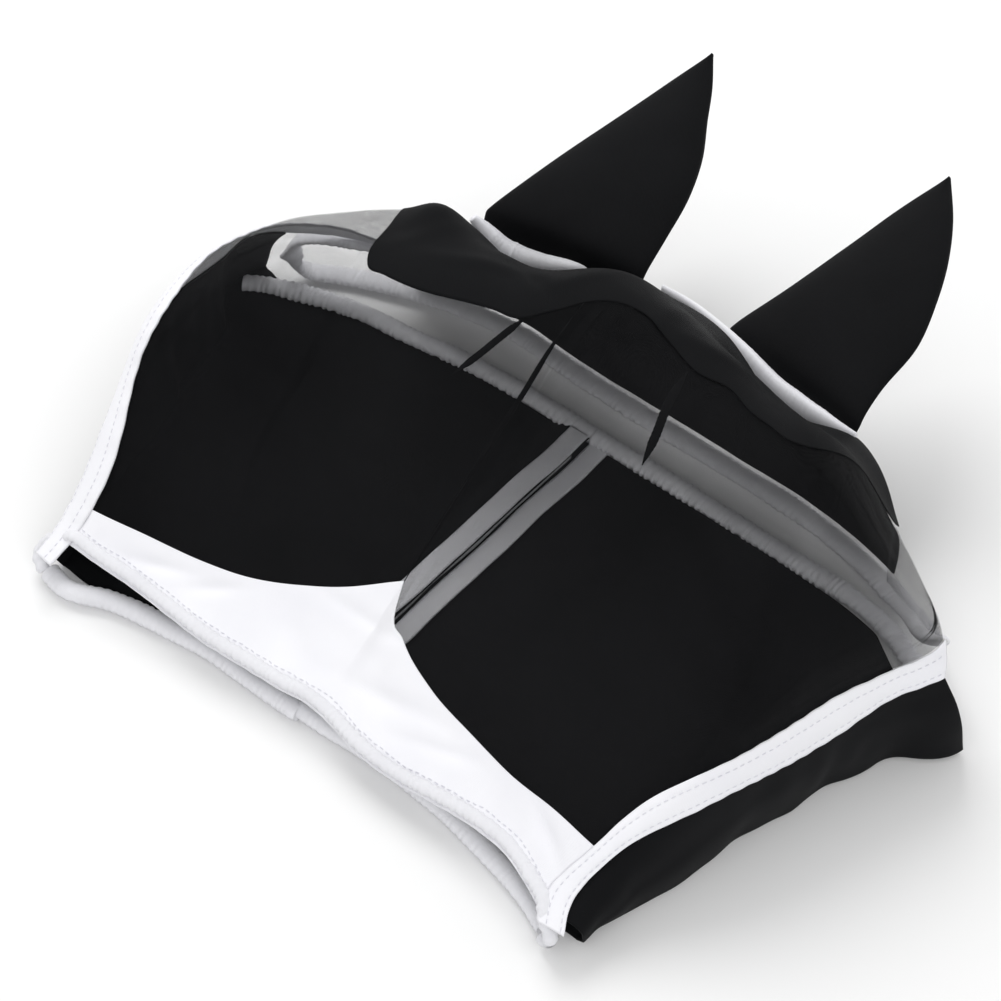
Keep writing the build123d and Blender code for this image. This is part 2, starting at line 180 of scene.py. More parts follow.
OUTLINES = outline_table()
Q_KNOTS = np.linspace(-1, 1, 11)


def hood(q, d):
    """Points of the hood; q runs from -1 at the right fold line over the face to 1 at the left one."""
    q, d = np.broadcast_arrays(np.asarray(q, float), np.asarray(d, float))
    along = weights(STATIONS, d)
    across = weights(Q_KNOTS, q)
    by_station = (along @ OUTLINES.reshape(len(STATIONS), -1)).reshape(-1, 11, 2)
    flat = (by_station * across[:, :, None]).sum(axis=1)
    x, z = flat[:, 0].reshape(q.shape), flat[:, 1].reshape(q.shape)
    for x0, d0, wide, long, rise in SWELLS:
        z = z + rise * np.exp(-((x - x0) / wide) ** 2 - ((d - d0) / long) ** 2)
    return np.stack([x, d + 0 * x, z], axis=-1)


def solve(function, target, low, high, rounds=26):
    """Where a rising function reaches its target, between low and high, by halving."""
    low, high = np.broadcast_arrays(np.asarray(low, float), np.asarray(high, float))
    low, high = low + 0 * target, high + 0 * target
    for _ in range(rounds):
        middle = (low + high) / 2
        under = function(middle) < target
        low, high = np.where(under, middle, low), np.where(under, high, middle)
    return (low + high) / 2


def q_at_x(x, d):
    """q of the roof's point over (x, d)."""
    return solve(lambda q: hood(q, d)[..., 0], np.asarray(x, float) + 0 * np.asarray(d, float), -0.78, 0.78)


def rear_edge(x):
    return through(REAR_EDGE, np.abs(x))


def trim_q(side, d):
    """q of the upper edge of a cheek trim."""
    return side * through(TRIM_UPPER[side], d)


def seam_distance(seam, side, share):
    """Distance at which a column of the face, at a share of the way to the trim, meets a seam."""
    d = 60 + 0 * share
    for _ in range(16):
        d = mixed(d, seam(hood(share * trim_q(side, d), d)[..., 0]), 0.6)
    return d


def rear_distance(q_at):
    """Distance at which a line of the hood, given as q over distance, meets the rear edge."""
    d = 200.0
    for _ in range(16):
        d = mixed(d, float(rear_edge(hood(q_at(d), d)[..., 0])), 0.6)
    return d


def wander(points, scale, seed):
    """Smooth noise from -1 to 1 at each point, in a pattern about scale millimetres across."""
    flat = np.asarray(points, float).reshape(-1, 3) / scale
    values = [noise.noise(Vector((p[0] + seed, p[1] - seed, p[2] + 2 * seed))) for p in flat]
    return np.array(values).reshape(np.asarray(points).shape[:-1])


def normals(grid):
    result = np.cross(np.gradient(grid, axis=0), np.gradient(grid, axis=1))
    return result / np.maximum(np.linalg.norm(result, axis=-1, keepdims=True), 1e-9)


def outward(grid, inside=(0.0, 150.0, 20.0)):
    """Normals of a grid that point away from a place behind it."""
    normal = normals(grid)
    return normal if (normal * (grid - np.array(inside))).sum() > 0 else -normal


# ---- meshes --------------------------------------------------------------------------------------
def add_object(name, verts, faces, uvs=None):
    """A smooth-shaded object from points in millimetres."""
    points = np.asarray(verts, float).copy()
    points[:, 1] += NOSE_Y
    mesh = bpy.data.meshes.new(name)
    mesh.from_pydata((points * MM).tolist(), [], faces)
    mesh.polygons.foreach_set("use_smooth", [True] * len(mesh.polygons))
    if uvs is not None:
        layer = mesh.uv_layers.new(name="UVMap")
        corner = np.zeros(len(mesh.loops), int)
        mesh.loops.foreach_get("vertex_index", corner)
        layer.data.foreach_set("uv", (np.asarray(uvs, float)[corner] * MM).ravel())
    mesh.validate()
    mesh.update()
    made = bpy.data.objects.new(name, mesh)
    bpy.context.scene.collection.objects.link(made)
    return made


def grid_lengths(grid):
    """Distances run across and along a grid, used as its flat coordinates."""
    across = np.linalg.norm(np.diff(grid, axis=0), axis=2)
    along = np.linalg.norm(np.diff(grid, axis=1), axis=2)
    u = np.concatenate([np.zeros((1, grid.shape[1])), np.cumsum(across, axis=0)])
    v = np.concatenate([np.zeros((grid.shape[0], 1)), np.cumsum(along, axis=1)], axis=1)
    return np.stack([u, v], axis=-1)


def sheet_faces(keep, under):
    """Faces of both sides of a grid's kept cells and of the edge between them."""
    columns = keep.shape[1] + 1
    faces, sides = [], {}
    for i, j in zip(*np.nonzero(keep)):
        ring = [i * columns + j, (i + 1) * columns + j, (i + 1) * columns + j + 1, i * columns + j + 1]
        faces.append(ring)
        faces.append([under + k for k in reversed(ring)])
        for a, b in zip(ring, ring[1:] + ring[:1]):
            if (b, a) in sides:
                del sides[(b, a)]
            else:
                sides[(a, b)] = True
    for a, b in sides:
        faces.append([b, a, under + a, under + b])
    return faces


def measure(made, grid, keep):
    """Notes the longest runs of a grid's kept cells both ways, and their area, in metres."""
    across = grid[1:, :-1] - grid[:-1, :-1]
    along = grid[:-1, 1:] - grid[:-1, :-1]
    wide = (np.linalg.norm(across, axis=-1) * keep).sum(axis=0)
    long = (np.linalg.norm(along, axis=-1) * keep).sum(axis=1)
    cells = np.linalg.norm(np.cross(across, along), axis=-1)
    made["flat_size"] = [float(wide.max() * MM), float(long.max() * MM)]
    made["flat_area"] = float(cells[keep].sum() * MM * MM)


def cloth(name, grid, thick, keep=None):
    """A closed sheet of fabric over a grid of points; keep says which of its cells exist."""
    if keep is None:
        keep = np.ones((grid.shape[0] - 1, grid.shape[1] - 1), bool)
    half = normals(grid) * thick / 2
    verts = np.concatenate([(grid + half).reshape(-1, 3), (grid - half).reshape(-1, 3)])
    uvs = np.concatenate([grid_lengths(grid).reshape(-1, 2)] * 2)
    faces = sheet_faces(keep, len(verts) // 2)
    used = np.unique(np.array([k for f in faces for k in f]))
    place = -np.ones(len(verts), int)
    place[used] = np.arange(len(used))
    faces = [[int(place[k]) for k in f] for f in faces]
    made = add_object(name, verts[used], faces, uvs[used])
    measure(made, grid, keep)
    return made


TUBE_SIDES = 20
TUBE_ROUND = 30          # flat distance round a tube, for its weave


def tube(name, path, shape):
    """A tube along a path; shape(i, angle) gives its offset (across, up) at each ring."""
    path = np.asarray(path, float)
    forward = np.gradient(path, axis=0)
    forward /= np.linalg.norm(forward, axis=1, keepdims=True)
    across = np.cross(forward, np.array([0.0, 0.0, 1.0]))
    steep = np.linalg.norm(across, axis=1) < 0.2
    for i in np.nonzero(steep)[0]:
        across[i] = across[i - 1] if i else np.cross(forward[i], [0, 1.0, 0])
    across -= (across * forward).sum(axis=1)[:, None] * forward
    across /= np.linalg.norm(across, axis=1, keepdims=True)
    up = np.cross(across, forward)
    sides = TUBE_SIDES
    angle = np.linspace(0, 2 * math.pi, sides, endpoint=False)
    side, rise = shape(np.arange(len(path))[:, None], angle[None, :])
    rings = path[:, None] + side[..., None] * across[:, None] + rise[..., None] * up[:, None]
    verts = rings.reshape(-1, 3)
    run = np.concatenate([[0], np.cumsum(np.linalg.norm(np.diff(path, axis=0), axis=1))])
    around = angle / (2 * math.pi) * TUBE_ROUND
    uvs = np.stack(np.broadcast_arrays(around[None, :], run[:, None]), axis=-1).reshape(-1, 2)
    faces = []
    for i in range(len(path) - 1):
        for j in range(sides):
            k = (j + 1) % sides
            faces.append([i * sides + j, i * sides + k, (i + 1) * sides + k, (i + 1) * sides + j])
    faces.append(list(range(sides - 1, -1, -1)))
    faces.append([(len(path) - 1) * sides + j for j in range(sides)])
    return add_object(name, verts, faces, uvs)


RUCHE_STEP, PLEAT = 0.7, 4.2


def ruched(name, line, section, seed, fine=0.4, lump=0.9, sizes=(1, 1)):
    """A gathered binding along a line: pleats across it, and soft lumps along it."""
    wide, tall = section
    path = smooth_path(line, RUCHE_STEP)
    run = np.arange(len(path)) * RUCHE_STEP
    whole = np.interp(np.linspace(0, 1, len(path)), np.linspace(0, 1, len(sizes)), sizes)
    drift = wander(np.stack([run, 0 * run, 0 * run], axis=1), 9, seed)
    lumps = wander(np.stack([run, 0 * run + 5, 0 * run], axis=1), 24, seed + 3)
    pleat = np.sin(run * 2 * math.pi / PLEAT + 5 * drift) * (0.55 + 0.45 * lumps)

    def shape(i, angle):
        turned = pleat[i] * np.cos(0.5 * angle) ** 2 + pleat[(i + 3) % len(path)] * np.sin(0.5 * angle) ** 2
        size = (1 + fine * turned / (tall / 2) + 0.12 * lumps[i] * lump) * whole[i]
        return size * wide / 2 * np.cos(angle), size * tall / 2 * np.sin(angle)

    return tube(name, path, shape)


def elastic(name, line, wide, tall):
    """The flat elastic inside a binding."""
    path = smooth_path(line, 1.2)

    def shape(i, angle):
        ribs = 1 + 0.12 * np.sign(np.cos(6 * angle)) + 0 * i
        square = np.maximum(np.abs(np.cos(angle)), np.abs(np.sin(angle)))
        return ribs * wide / 2 * np.cos(angle) / square * 0.9, ribs * tall / 2 * np.sin(angle) / square * 0.9

    return tube(name, path, shape)


# one stitch: share of its length, share of its thickness, and height above the cloth
STITCH = [(0.0, 0.25, -0.1), (0.15, 0.85, 0.12), (0.5, 1.0, 0.22), (0.85, 0.85, 0.12), (1.0, 0.25, -0.1)]
STITCH_SIDES = 6


def stitches(name, points, lift, length=2.6, gap=1.3, radius=0.32):
    """A row of machine stitches along points with their normals."""
    path, out = np.asarray(points, float), np.asarray(lift, float)
    run = np.concatenate([[0], np.cumsum(np.linalg.norm(np.diff(path, axis=0), axis=1))])
    starts = np.arange(1.0, run[-1] - length, length + gap)
    verts, faces = [], []
    for start in starts:
        at = start + length * np.array([place for place, _, _ in STITCH])
        middle = np.stack([np.interp(at, run, path[:, k]) for k in range(3)], axis=1)
        normal = np.stack([np.interp(at, run, out[:, k]) for k in range(3)], axis=1)
        normal /= np.linalg.norm(normal, axis=1, keepdims=True)
        forward = middle[-1] - middle[0]
        forward /= np.linalg.norm(forward)
        side = np.cross(forward, normal)
        base = len(verts)
        for k, (_, share, rise) in enumerate(STITCH):
            for turn in range(STITCH_SIDES):
                angle = turn * 2 * math.pi / STITCH_SIDES
                offset = side[k] * math.cos(angle) * share * radius
                offset = offset + normal[k] * (math.sin(angle) * share * radius + rise)
                verts.append(middle[k] + offset)
        for k in range(len(STITCH) - 1):
            ring = base + k * STITCH_SIDES
            for turn in range(STITCH_SIDES):
                a, b = ring + turn, ring + (turn + 1) % STITCH_SIDES
                faces.append([a, b, b + STITCH_SIDES, a + STITCH_SIDES])
        faces.append([base + turn for turn in reversed(range(STITCH_SIDES))])
        faces.append([base + (len(STITCH) - 1) * STITCH_SIDES + turn for turn in range(STITCH_SIDES)])
    return add_object(name, np.array(verts), faces, np.zeros((len(verts), 2)))


# ---- materials -----------------------------------------------------------------------------------
def material(name, rough, sheen, gloss=0.25):
    made = bpy.data.materials.new(name)
    made.use_nodes = True
    shader = made.node_tree.nodes["Principled BSDF"]
    shader.inputs["Roughness"].default_value = rough
    shader.inputs["Sheen Weight"].default_value = sheen
    shader.inputs["Sheen Roughness"].default_value = 0.4
    shader.inputs["Specular IOR Level"].default_value = gloss
    return made, made.node_tree, shader


def node(tree, kind, **settings):
    made = tree.nodes.new(kind)
    for key, value in settings.items():
        setattr(made, key, value)
    return made


def maths(tree, operation, a, b=None):
    made = node(tree, "ShaderNodeMath", operation=operation)
    for socket, value in zip(made.inputs, (a, b)):
        if value is None:
            continue
        if isinstance(value, (int, float)):
            socket.default_value = value
        else:
            tree.links.new(value, socket)
    return made.outputs[0]


def uv_parts(tree):
    """The fabric's own flat coordinates, in metres."""
    split = node(tree, "ShaderNodeSeparateXYZ")
    tree.links.new(node(tree, "ShaderNodeUVMap", uv_map="UVMap").outputs["UV"], split.inputs[0])
    return split.outputs["X"], split.outputs["Y"]


def wave(tree, coordinate, pitch):
    """A smooth wave of the given pitch in metres, from -1 to 1."""
    return maths(tree, "SINE", maths(tree, "MULTIPLY", coordinate, 2 * math.pi / pitch))


def mottled(tree, scale, detail=3.0):
    """Soft noise fixed to the object."""
    made = node(tree, "ShaderNodeTexNoise")
    made.inputs["Scale"].default_value = scale
    made.inputs["Detail"].default_value = detail
    tree.links.new(node(tree, "ShaderNodeTexCoord").outputs["Object"], made.inputs["Vector"])
    return made.outputs["Fac"]


def colour_between(tree, shader, factor, dark, light):
    ramp = node(tree, "ShaderNodeMix", data_type="RGBA")
    tree.links.new(factor, ramp.inputs["Factor"])
    ramp.inputs["A"].default_value = (*dark, 1)
    ramp.inputs["B"].default_value = (*light, 1)
    tree.links.new(ramp.outputs["Result"], shader.inputs["Base Color"])


def bumped(tree, shader, height, depth):
    made = node(tree, "ShaderNodeBump")
    made.inputs["Strength"].default_value = 0.6
    made.inputs["Distance"].default_value = depth
    tree.links.new(height, made.inputs["Height"])
    tree.links.new(made.outputs["Normal"], shader.inputs["Normal"])


def knit(name, dark, light, rough, sheen, pitch, depth, gloss=0.25):
    """A stretch knit: fine columns of loops, with soft changes of colour."""
    made, tree, shader = material(name, rough, sheen, gloss)
    u, v = uv_parts(tree)
    loops = maths(tree, "MULTIPLY", wave(tree, u, pitch), wave(tree, v, 0.8 * pitch))
    fuzz = mottled(tree, 900, 2)
    bumped(tree, shader, maths(tree, "ADD", loops, fuzz), depth)
    colour_between(tree, shader, mottled(tree, 22), dark, light)
    return made


def sheer(name):
    """Fine stretch mesh: threads with small holes between them."""
    made, tree, shader = material(name, 0.6, 0.03, 0.1)
    u, v = uv_parts(tree)
    pitch, thread_share = 0.00045, 0.12
    holes = maths(tree, "MULTIPLY", maths(tree, "ABSOLUTE", wave(tree, u, 2 * pitch)),
                  maths(tree, "ABSOLUTE", wave(tree, v, 2 * pitch)))
    thread = maths(tree, "LESS_THAN", holes, thread_share)
    tree.links.new(thread, shader.inputs["Alpha"])
    bumped(tree, shader, maths(tree, "SUBTRACT", 1.0, holes), 0.0002)
    # the soft lighter patches in the threads' colour are painted sheen: faint grey sheen wisps put into the
    # base colour
    colour_between(tree, shader, mottled(tree, 11), BLACK, (0.017, 0.017, 0.019))
    return made


def tape(name, pitch, tone):
    """A woven tape with its hooks or loops."""
    made, tree, shader = material(name, 0.85, 0.3)
    u, v = uv_parts(tree)
    rows = maths(tree, "MULTIPLY", wave(tree, u, pitch), wave(tree, v, pitch))
    bumped(tree, shader, maths(tree, "ADD", rows, mottled(tree, 700, 2)), 0.0006)
    colour_between(tree, shader, mottled(tree, 300, 2), tone, (0.85, 0.85, 0.88))
    return made


MATERIALS = {
    "black_stretch": knit("black_stretch", BLACK, (0.0068, 0.007, 0.008), rough=0.65, sheen=0.012,
                          pitch=0.0009, depth=0.00012, gloss=0.06),
    "eye_mesh": sheer("eye_mesh"),
    "white_satin": knit("white_satin", (0.82, 0.82, 0.87), (0.92, 0.92, 0.94), rough=0.5, sheen=0.25,
                        pitch=0.0008, depth=0.00008),
    # the bindings' whites are set a little darker than the satin's: painted shade, for the chin binding lying
    # in shadow under the nose binding; every binding shares this colour
    "white_binding": knit("white_binding", (0.78, 0.78, 0.82), (0.9, 0.9, 0.93), rough=0.8, sheen=0.3,
                          pitch=0.001, depth=0.00018),
    "white_elastic": knit("white_elastic", (0.68, 0.68, 0.66), (0.8, 0.8, 0.78), rough=0.8, sheen=0.2,
                          pitch=0.0012, depth=0.0002),
    "hook_tape": tape("hook_tape", 0.0016, (0.66, 0.66, 0.7)),
    "loop_tape": tape("loop_tape", 0.0022, (0.7, 0.7, 0.74)),
    "seam_thread": knit("seam_thread", (0.003, 0.003, 0.0035), (0.006, 0.006, 0.007), rough=0.8, sheen=0.02,
                        pitch=0.0011, depth=0.0002, gloss=0.06),
    "white_thread": knit("white_thread", (0.62, 0.62, 0.68), (0.8, 0.8, 0.84), rough=0.6, sheen=0.3,
                         pitch=0.0006, depth=0.0001),
}


def dress(piece, slot, body, *nodes, paint=None):
    """Gives a piece its material, hangs it under its body and hides the CAD nodes that it stands for."""
    piece.data.materials.append(MATERIALS[paint or slot])
    if body:
        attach(piece, body)
    if nodes:
        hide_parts(*nodes)
    return piece


# ---- camera, floor and light ---------------------------------------------------------------------
def camera():
    azimuth, elevation, away = math.radians(40), math.radians(50), 1.2
    aim = Vector((0.0126, 0.1433 + NOSE_Y * MM, 0.072))
    back = Vector((math.sin(azimuth) * math.cos(elevation), -math.cos(azimuth) * math.cos(elevation),
                   math.sin(elevation)))
    data = bpy.data.cameras.new("camera")
    data.lens, data.sensor_width = 86.3, 36
    made = bpy.data.objects.new("camera", data)
    made.location = aim + away * back
    made.rotation_euler = back.to_track_quat("Z", "Y").to_euler()
    bpy.context.scene.collection.objects.link(made)
    bpy.context.scene.camera = made


FLOOR_HALF = 40.0
# area lights: name, place, diameter and power
LIGHTS = [("key", (-0.9, 0.5, 1.5), 1.2, 16), ("fill", (1.2, -1.0, 1.1), 1.4, 7)]


def studio():
    mesh = bpy.data.meshes.new("floor")
    corners = [(-FLOOR_HALF, -FLOOR_HALF, 0), (FLOOR_HALF, -FLOOR_HALF, 0), (FLOOR_HALF, FLOOR_HALF, 0),
               (-FLOOR_HALF, FLOOR_HALF, 0)]
    mesh.from_pydata(corners, [], [(0, 1, 2, 3)])
    floor = bpy.data.objects.new("floor", mesh)
    bpy.context.scene.collection.objects.link(floor)
    paint, _, shader = material("floor", 0.9, 0.0)
    shader.inputs["Base Color"].default_value = (0.88, 0.88, 0.88, 1)
    mesh.materials.append(paint)
    world = bpy.data.worlds.new("world")
    world.use_nodes = True
    world.node_tree.nodes["Background"].inputs["Color"].default_value = (1, 1, 1, 1)
    world.node_tree.nodes["Background"].inputs["Strength"].default_value = 0.75
    bpy.context.scene.world = world
    for name, place, size, power in LIGHTS:
        data = bpy.data.lights.new(name, "AREA")
        data.shape, data.size, data.energy = "DISK", size, power
        light = bpy.data.objects.new(name, data)
        light.location = place
        light.rotation_euler = Vector(place).to_track_quat("Z", "Y").to_euler()
        bpy.context.scene.collection.objects.link(light)
    bpy.context.scene.view_settings.view_transform = "Standard"


# ---- the hood's panels ---------------------------------------------------------------------------
def soften(grid, normal, size, seed=11):
    """Gentle unevenness of stretched cloth, the same for neighbouring panels."""
    large = wander(grid, 55, seed) * size
    small = wander(grid, 17, seed + 7) * size * 0.22
    return grid + normal * (large + small)[..., None]


def nose_front(x):
    return through(NOSE_FRONT, x)


def nose_seam(side):
    return lambda x: through(NOSE_SEAM[side], x)


def brow_seam(x):
    inner = through(BROW_SEAM, np.clip(x, -CROWN_SIDE, CROWN_SIDE))
    return np.where(np.abs(x) < CROWN_SIDE, inner, rear_edge(x))


def face_grid(side, start, end, columns, rows):
    """Points of the face between two seams, from the middle to the cheek trim of one side."""
    share = np.linspace(0, 1, columns)
    first, last = seam_distance(start, side, share), seam_distance(end, side, share)
    d = mixed(first[:, None], last[:, None], np.linspace(0, 1, rows)[None, :])
    return hood(share[:, None] * trim_q(side, d), d), d - first[:, None]


def creased(grid, normal, folds):
    """Soft creases: each (x, distance, direction in degrees, half length, half width, rise)."""
    rise = 0 * grid[..., 0]
    for x0, d0, turn, long, wide, size in folds:
        a, b = math.cos(math.radians(turn)), math.sin(math.radians(turn))
        across, along = grid[..., 0] - x0, grid[..., 1] - d0
        on, off = across * a + along * b, along * a - across * b
        rise = rise + size * np.exp(-(on / long) ** 2 - (off / wide) ** 2)
    return grid + normal * rise[..., None]


BINDING_REACH = 9.0
HOOD_WAVES = 1.3
NOSE_FOLDS = [(-4, 62, 2, 26, 3.5, -1.3), (28, 39, 7, 30, 5, -1.8), (66, 33, 13, 20, 4, -1.4),
              (140, 26, -30, 16, 3.5, -1.5), (-118, 25, 20, 20, 3.5, -1.4), (-85, 33, 30, 14, 3.5, -1.5)]


def nose_band():
    halves = []
    for side in (-1, 1):
        halves.append(face_grid(side, lambda x: nose_front(x) + 1.5, nose_seam(side), 90, 64))
    grid = np.concatenate([halves[0][0][:0:-1], halves[1][0]])
    depth = np.concatenate([halves[0][1][:0:-1], halves[1][1]])
    normal = outward(grid)
    grid = soften(grid, normal, HOOD_WAVES) + normal * 0.7
    across = grid[..., 0]
    # soft pulls in the middle of the band that fade towards its ends, and small gathers by the binding
    pulls = 0.9 * np.sin(across / 11 + 0.09 * depth + 4 * wander(grid, 60, 3))
    pulls = pulls * np.exp(-((depth - 26) / 16) ** 2)
    gather = 0.5 * np.sin(across / 2.6 + 3 * wander(grid, 14, 21)) * np.exp(-(depth / BINDING_REACH) ** 2)
    grid = grid + normal * (pulls * np.clip(1 - np.abs(across) / 190, 0.2, 1) + gather)[..., None]
    grid = creased(grid, normal, NOSE_FOLDS)
    band = cloth("nose_band_cloth", grid, 0.9)
    dress(band, "white_satin", "mask", "nose_band")
    front = np.stack([across[:, 0], 0 * across[:, 0], 0 * across[:, 0]], axis=1)
    shift = BINDING_REACH + 0.9 * wander(front, 16, 5)
    row = np.clip(np.array([np.searchsorted(depth[i], shift[i]) for i in range(len(grid))]), 1, 60)
    pick = np.arange(len(grid))
    thread = stitches("nose_band_stitches", grid[pick, row] + normal[pick, row] * 0.45, normal[pick, row])
    dress(thread, "white_satin", "mask", paint="white_thread")


def rear_wall(side, top, rows):
    """Rows of points from the rear end of the face down to the poll binding at one side."""
    beyond = np.abs(top[:, 0]) - CROWN_SIDE
    along = np.clip(beyond / max(beyond[-1], 1), 0, 1)
    edge = POLL_BACK[-1] if side > 0 else POLL_BACK[0]
    rim = smooth_path([(*edge, POLL_Z)] + POLL_CORNER[side][::-1] + [rear_corner(side)], 1.0)
    run = np.linspace(0, 1, len(rim))
    low = np.stack([np.interp(along, run, rim[:, k]) for k in range(3)], axis=1)
    share = np.linspace(0, 1, rows + 1)[1:]
    return mixed(top[:, None], low[:, None], share[None, :, None])


def rounded_over(grid, row, behind):
    """Smooths the turn of the mesh near one row, where it goes down behind the crown."""
    near = np.exp(-((np.arange(1, grid.shape[1] - 1) - row) / 7.0) ** 2)
    near = near[None, :, None] * behind[:, None, None]
    for _ in range(10):
        blended = (grid[:, :-2] + 2 * grid[:, 1:-1] + grid[:, 2:]) / 4
        grid[:, 1:-1] = mixed(grid[:, 1:-1], blended, near)
    return grid


def eye_mesh(side, word):
    columns, rows, wall_rows = 120, 130, 30
    roof, _ = face_grid(side, lambda x: nose_seam(side)(x) - 0.5, brow_seam, columns, rows)
    top = roof[:, -1]
    behind = np.abs(top[:, 0]) >= CROWN_SIDE - 1.5
    grid = np.concatenate([roof, rear_wall(side, top, wall_rows)], axis=1)
    grid = rounded_over(grid, rows, behind)
    keep = np.ones((columns - 1, grid.shape[1] - 1), bool)
    keep[:, rows - 1:] = (behind[:-1] & behind[1:])[:, None]
    grid = soften(grid, outward(grid), HOOD_WAVES)
    panel = cloth(f"eye_mesh_{word}_cloth", grid, 0.5, keep)
    dress(panel, "eye_mesh", "mask", f"eye_mesh_{word}")


CROWN_FOLDS = [(-62, 214, 20, 26, 5, 1.4), (-30, 222, -15, 18, 4, -1.2), (-8, 238, 50, 22, 5, 1.0),
               (70, 236, 10, 24, 5, 1.3), (92, 244, -20, 20, 4, -1.2), (118, 236, -35, 24, 5, 1.3),
               (40, 246, 80, 30, 7, 1.0), (-100, 214, 60, 24, 6, 1.0)]


def crown_band():
    x = np.linspace(-CROWN_SIDE + 0.5, CROWN_SIDE - 0.5, 170)
    start, end = brow_seam(x) - 0.5, rear_edge(x) + 1
    d = mixed(start[:, None], end[:, None], np.linspace(0, 1, 70)[None, :])
    grid = hood(q_at_x(x[:, None], d), d)
    normal = outward(grid)
    grid = soften(grid, normal, HOOD_WAVES) + normal * 0.45
    band = cloth("crown_band_cloth", creased(grid, normal, CROWN_FOLDS), 0.6)
    dress(band, "black_stretch", "mask", "crown_band")


def rear_corner(side):
    """Where the upper edge of a cheek trim meets the rear edge."""
    d = rear_distance(lambda at: trim_q(side, at))
    return tuple(hood(trim_q(side, d), d))


def poll_panel():
    """The panel behind the ears, tucked a little under the crown at its top."""
    x = np.linspace(-CROWN_SIDE + 0.5, CROWN_SIDE - 0.5, 130)
    tuck = rear_edge(x) - 9
    top = hood(q_at_x(x, tuck), tuck) - (0, 0, 1.5)
    low = np.stack([x, through(POLL_BACK, x) + 6, POLL_Z + 4 + 0 * x], axis=1)
    v = np.linspace(0, 1, 36)[None, :, None]
    grid = mixed(top[:, None], low[:, None], v)
    grid[..., 1] += 5 * np.sin(math.pi * v[..., 0])
    panel = cloth("poll_panel_cloth", soften(grid, outward(grid), 1.8), 1.0)
    dress(panel, "black_stretch", "mask", "poll_panel")


# the two rows of stitching on a cheek trim, as shares of its width and as rows of its grid
STITCHED_AT = (0.2, 0.72)
STITCHED_ROWS = (3, 11)


def trim_line(side, share):
    """q over distance along a cheek trim, from its lower edge at share 0 to its upper one at 1."""
    return lambda d: side * mixed(through(TRIM_LOWER[side], d), through(TRIM_UPPER[side], d), share)


def cheek_trim(side, word):
    lines, share = [], np.linspace(0, 1, 16)
    for v in share:
        q_at = trim_line(side, v)
        d = np.linspace(-5 - 2 * v, rear_distance(q_at), 230)
        lines.append(hood(q_at(d), d))
    grid = np.stack(lines, axis=1)
    normal = outward(grid)
    grid = soften(grid, normal, HOOD_WAVES)
    along = grid[..., 1]
    round_edges = 1.1 * np.sin(math.pi * np.clip(share, 0.04, 0.96))[None, :] ** 0.6
    rows = -0.35 * sum(np.exp(-((share - place) / 0.05) ** 2) for place in STITCHED_AT)[None, :]
    pucker = 0.2 * np.sin(along / 1.7 + 2 * np.sin(along / 17)) * (np.abs(share - 0.5) * 2)[None, :]
    grid = grid + normal * (0.9 + round_edges + rows + pucker)[..., None]
    trim = cloth(f"cheek_trim_{word}_cloth", grid, 1.0)
    dress(trim, "white_satin", "mask", f"cheek_trim_{word}")
    for index, edge in enumerate(STITCHED_ROWS):
        thread = stitches(f"cheek_trim_{word}_stitches_{index + 1}", grid[:, edge] + normal[:, edge] * 0.45,
                          normal[:, edge])
        dress(thread, "white_satin", "mask", paint="white_thread")


# ---- jaw panels ----------------------------------------------------------------------------------
CLOSURE_X, OVERLAP = -14.0, 17.0
STANDING_Q = 0.985
HEM = 3.0
FLAP_Z = 1.0
# fold line of a flap: its x at no distance, and how far out it goes with distance
LAP_START, LAP_RUN, LAP_RISE = -42, 14, 5.2      # where the right flap climbs over the left one
FLAP_FRONT = [(0, 21), (60, 20), (105, 15), (138, 9), (160, 4), (190, 2)]
FLAP_REAR = [(0, 251), (60, 251), (126, 250), (165, 247), (205, 236), (230, 222), (256, 211)]
# folds of the standing side: (distance, width, rise at the foot)
JAW_FOLDS = {-1: [(52, 9, 7.0), (96, 10, -2.0), (139, 9, 6.0), (182, 9, -3.0)],
             1: [(60, 14, 2.0), (96, 10, -2.0), (128, 9, 2.0), (150, 8, -1.5), (182, 10, -4.5)]}


def jaw_wall(side, along, down):
    """The standing side of one jaw half, from the cheek trim to the table."""
    lines = []
    last = rear_distance(trim_line(side, 0))
    for w in down:
        d = mixed(1.0 + 6 * w, last + 11 * w, along)
        q = side * mixed(through(TRIM_LOWER[side], d) - 0.01, STANDING_Q, w)
        lines.append(hood(q, d))
    grid = np.stack(lines, axis=1)
    normal = outward(grid)
    grid = soften(grid, normal, 1.8)
    for place, wide, rise in JAW_FOLDS[side]:
        swell = rise * np.exp(-((grid[..., 1] - place) / wide) ** 2) * down[None, :] ** 1.3
        grid = grid + normal * swell[..., None] * (1, 1, 0)
    creases = 0.5 * np.sin(grid[..., 1] / 4.1 + 2 * np.sin(grid[..., 1] / 23))
    creases = creases * np.sin(math.pi * down)[None, :]
    return grid + normal * creases[..., None]


def jaw_flap(side, foot, along):
    """The part of one jaw half that lies on the table, from the hem to the closure."""
    inner = CLOSURE_X - OVERLAP if side > 0 else CLOSURE_X
    start = foot[:, 0] - side * HEM
    reach = np.linspace(0, 1, 90)[1:]
    flat = np.zeros((len(foot), len(reach), 3))
    flat[..., 0] = start[:, None] + (inner - start)[:, None] * reach[None, :]
    size = np.abs(flat[..., 0])
    near, far = through(FLAP_FRONT, size), through(FLAP_REAR, size)
    settled = np.clip(reach / 0.25, 0, 1)[None, :]
    flat[..., 1] = mixed(foot[:, None, 1], near + (far - near) * along[:, None], settled)
    climb = np.clip((flat[..., 0] - LAP_START) / LAP_RUN, 0, 1) if side < 0 else 0 * flat[..., 0]
    lift = LAP_RISE * climb**2 * (3 - 2 * climb)
    flat[..., 2] = FLAP_Z + lift + 0.35 * (1 + wander(flat, 40, 83 + side))
    return flat


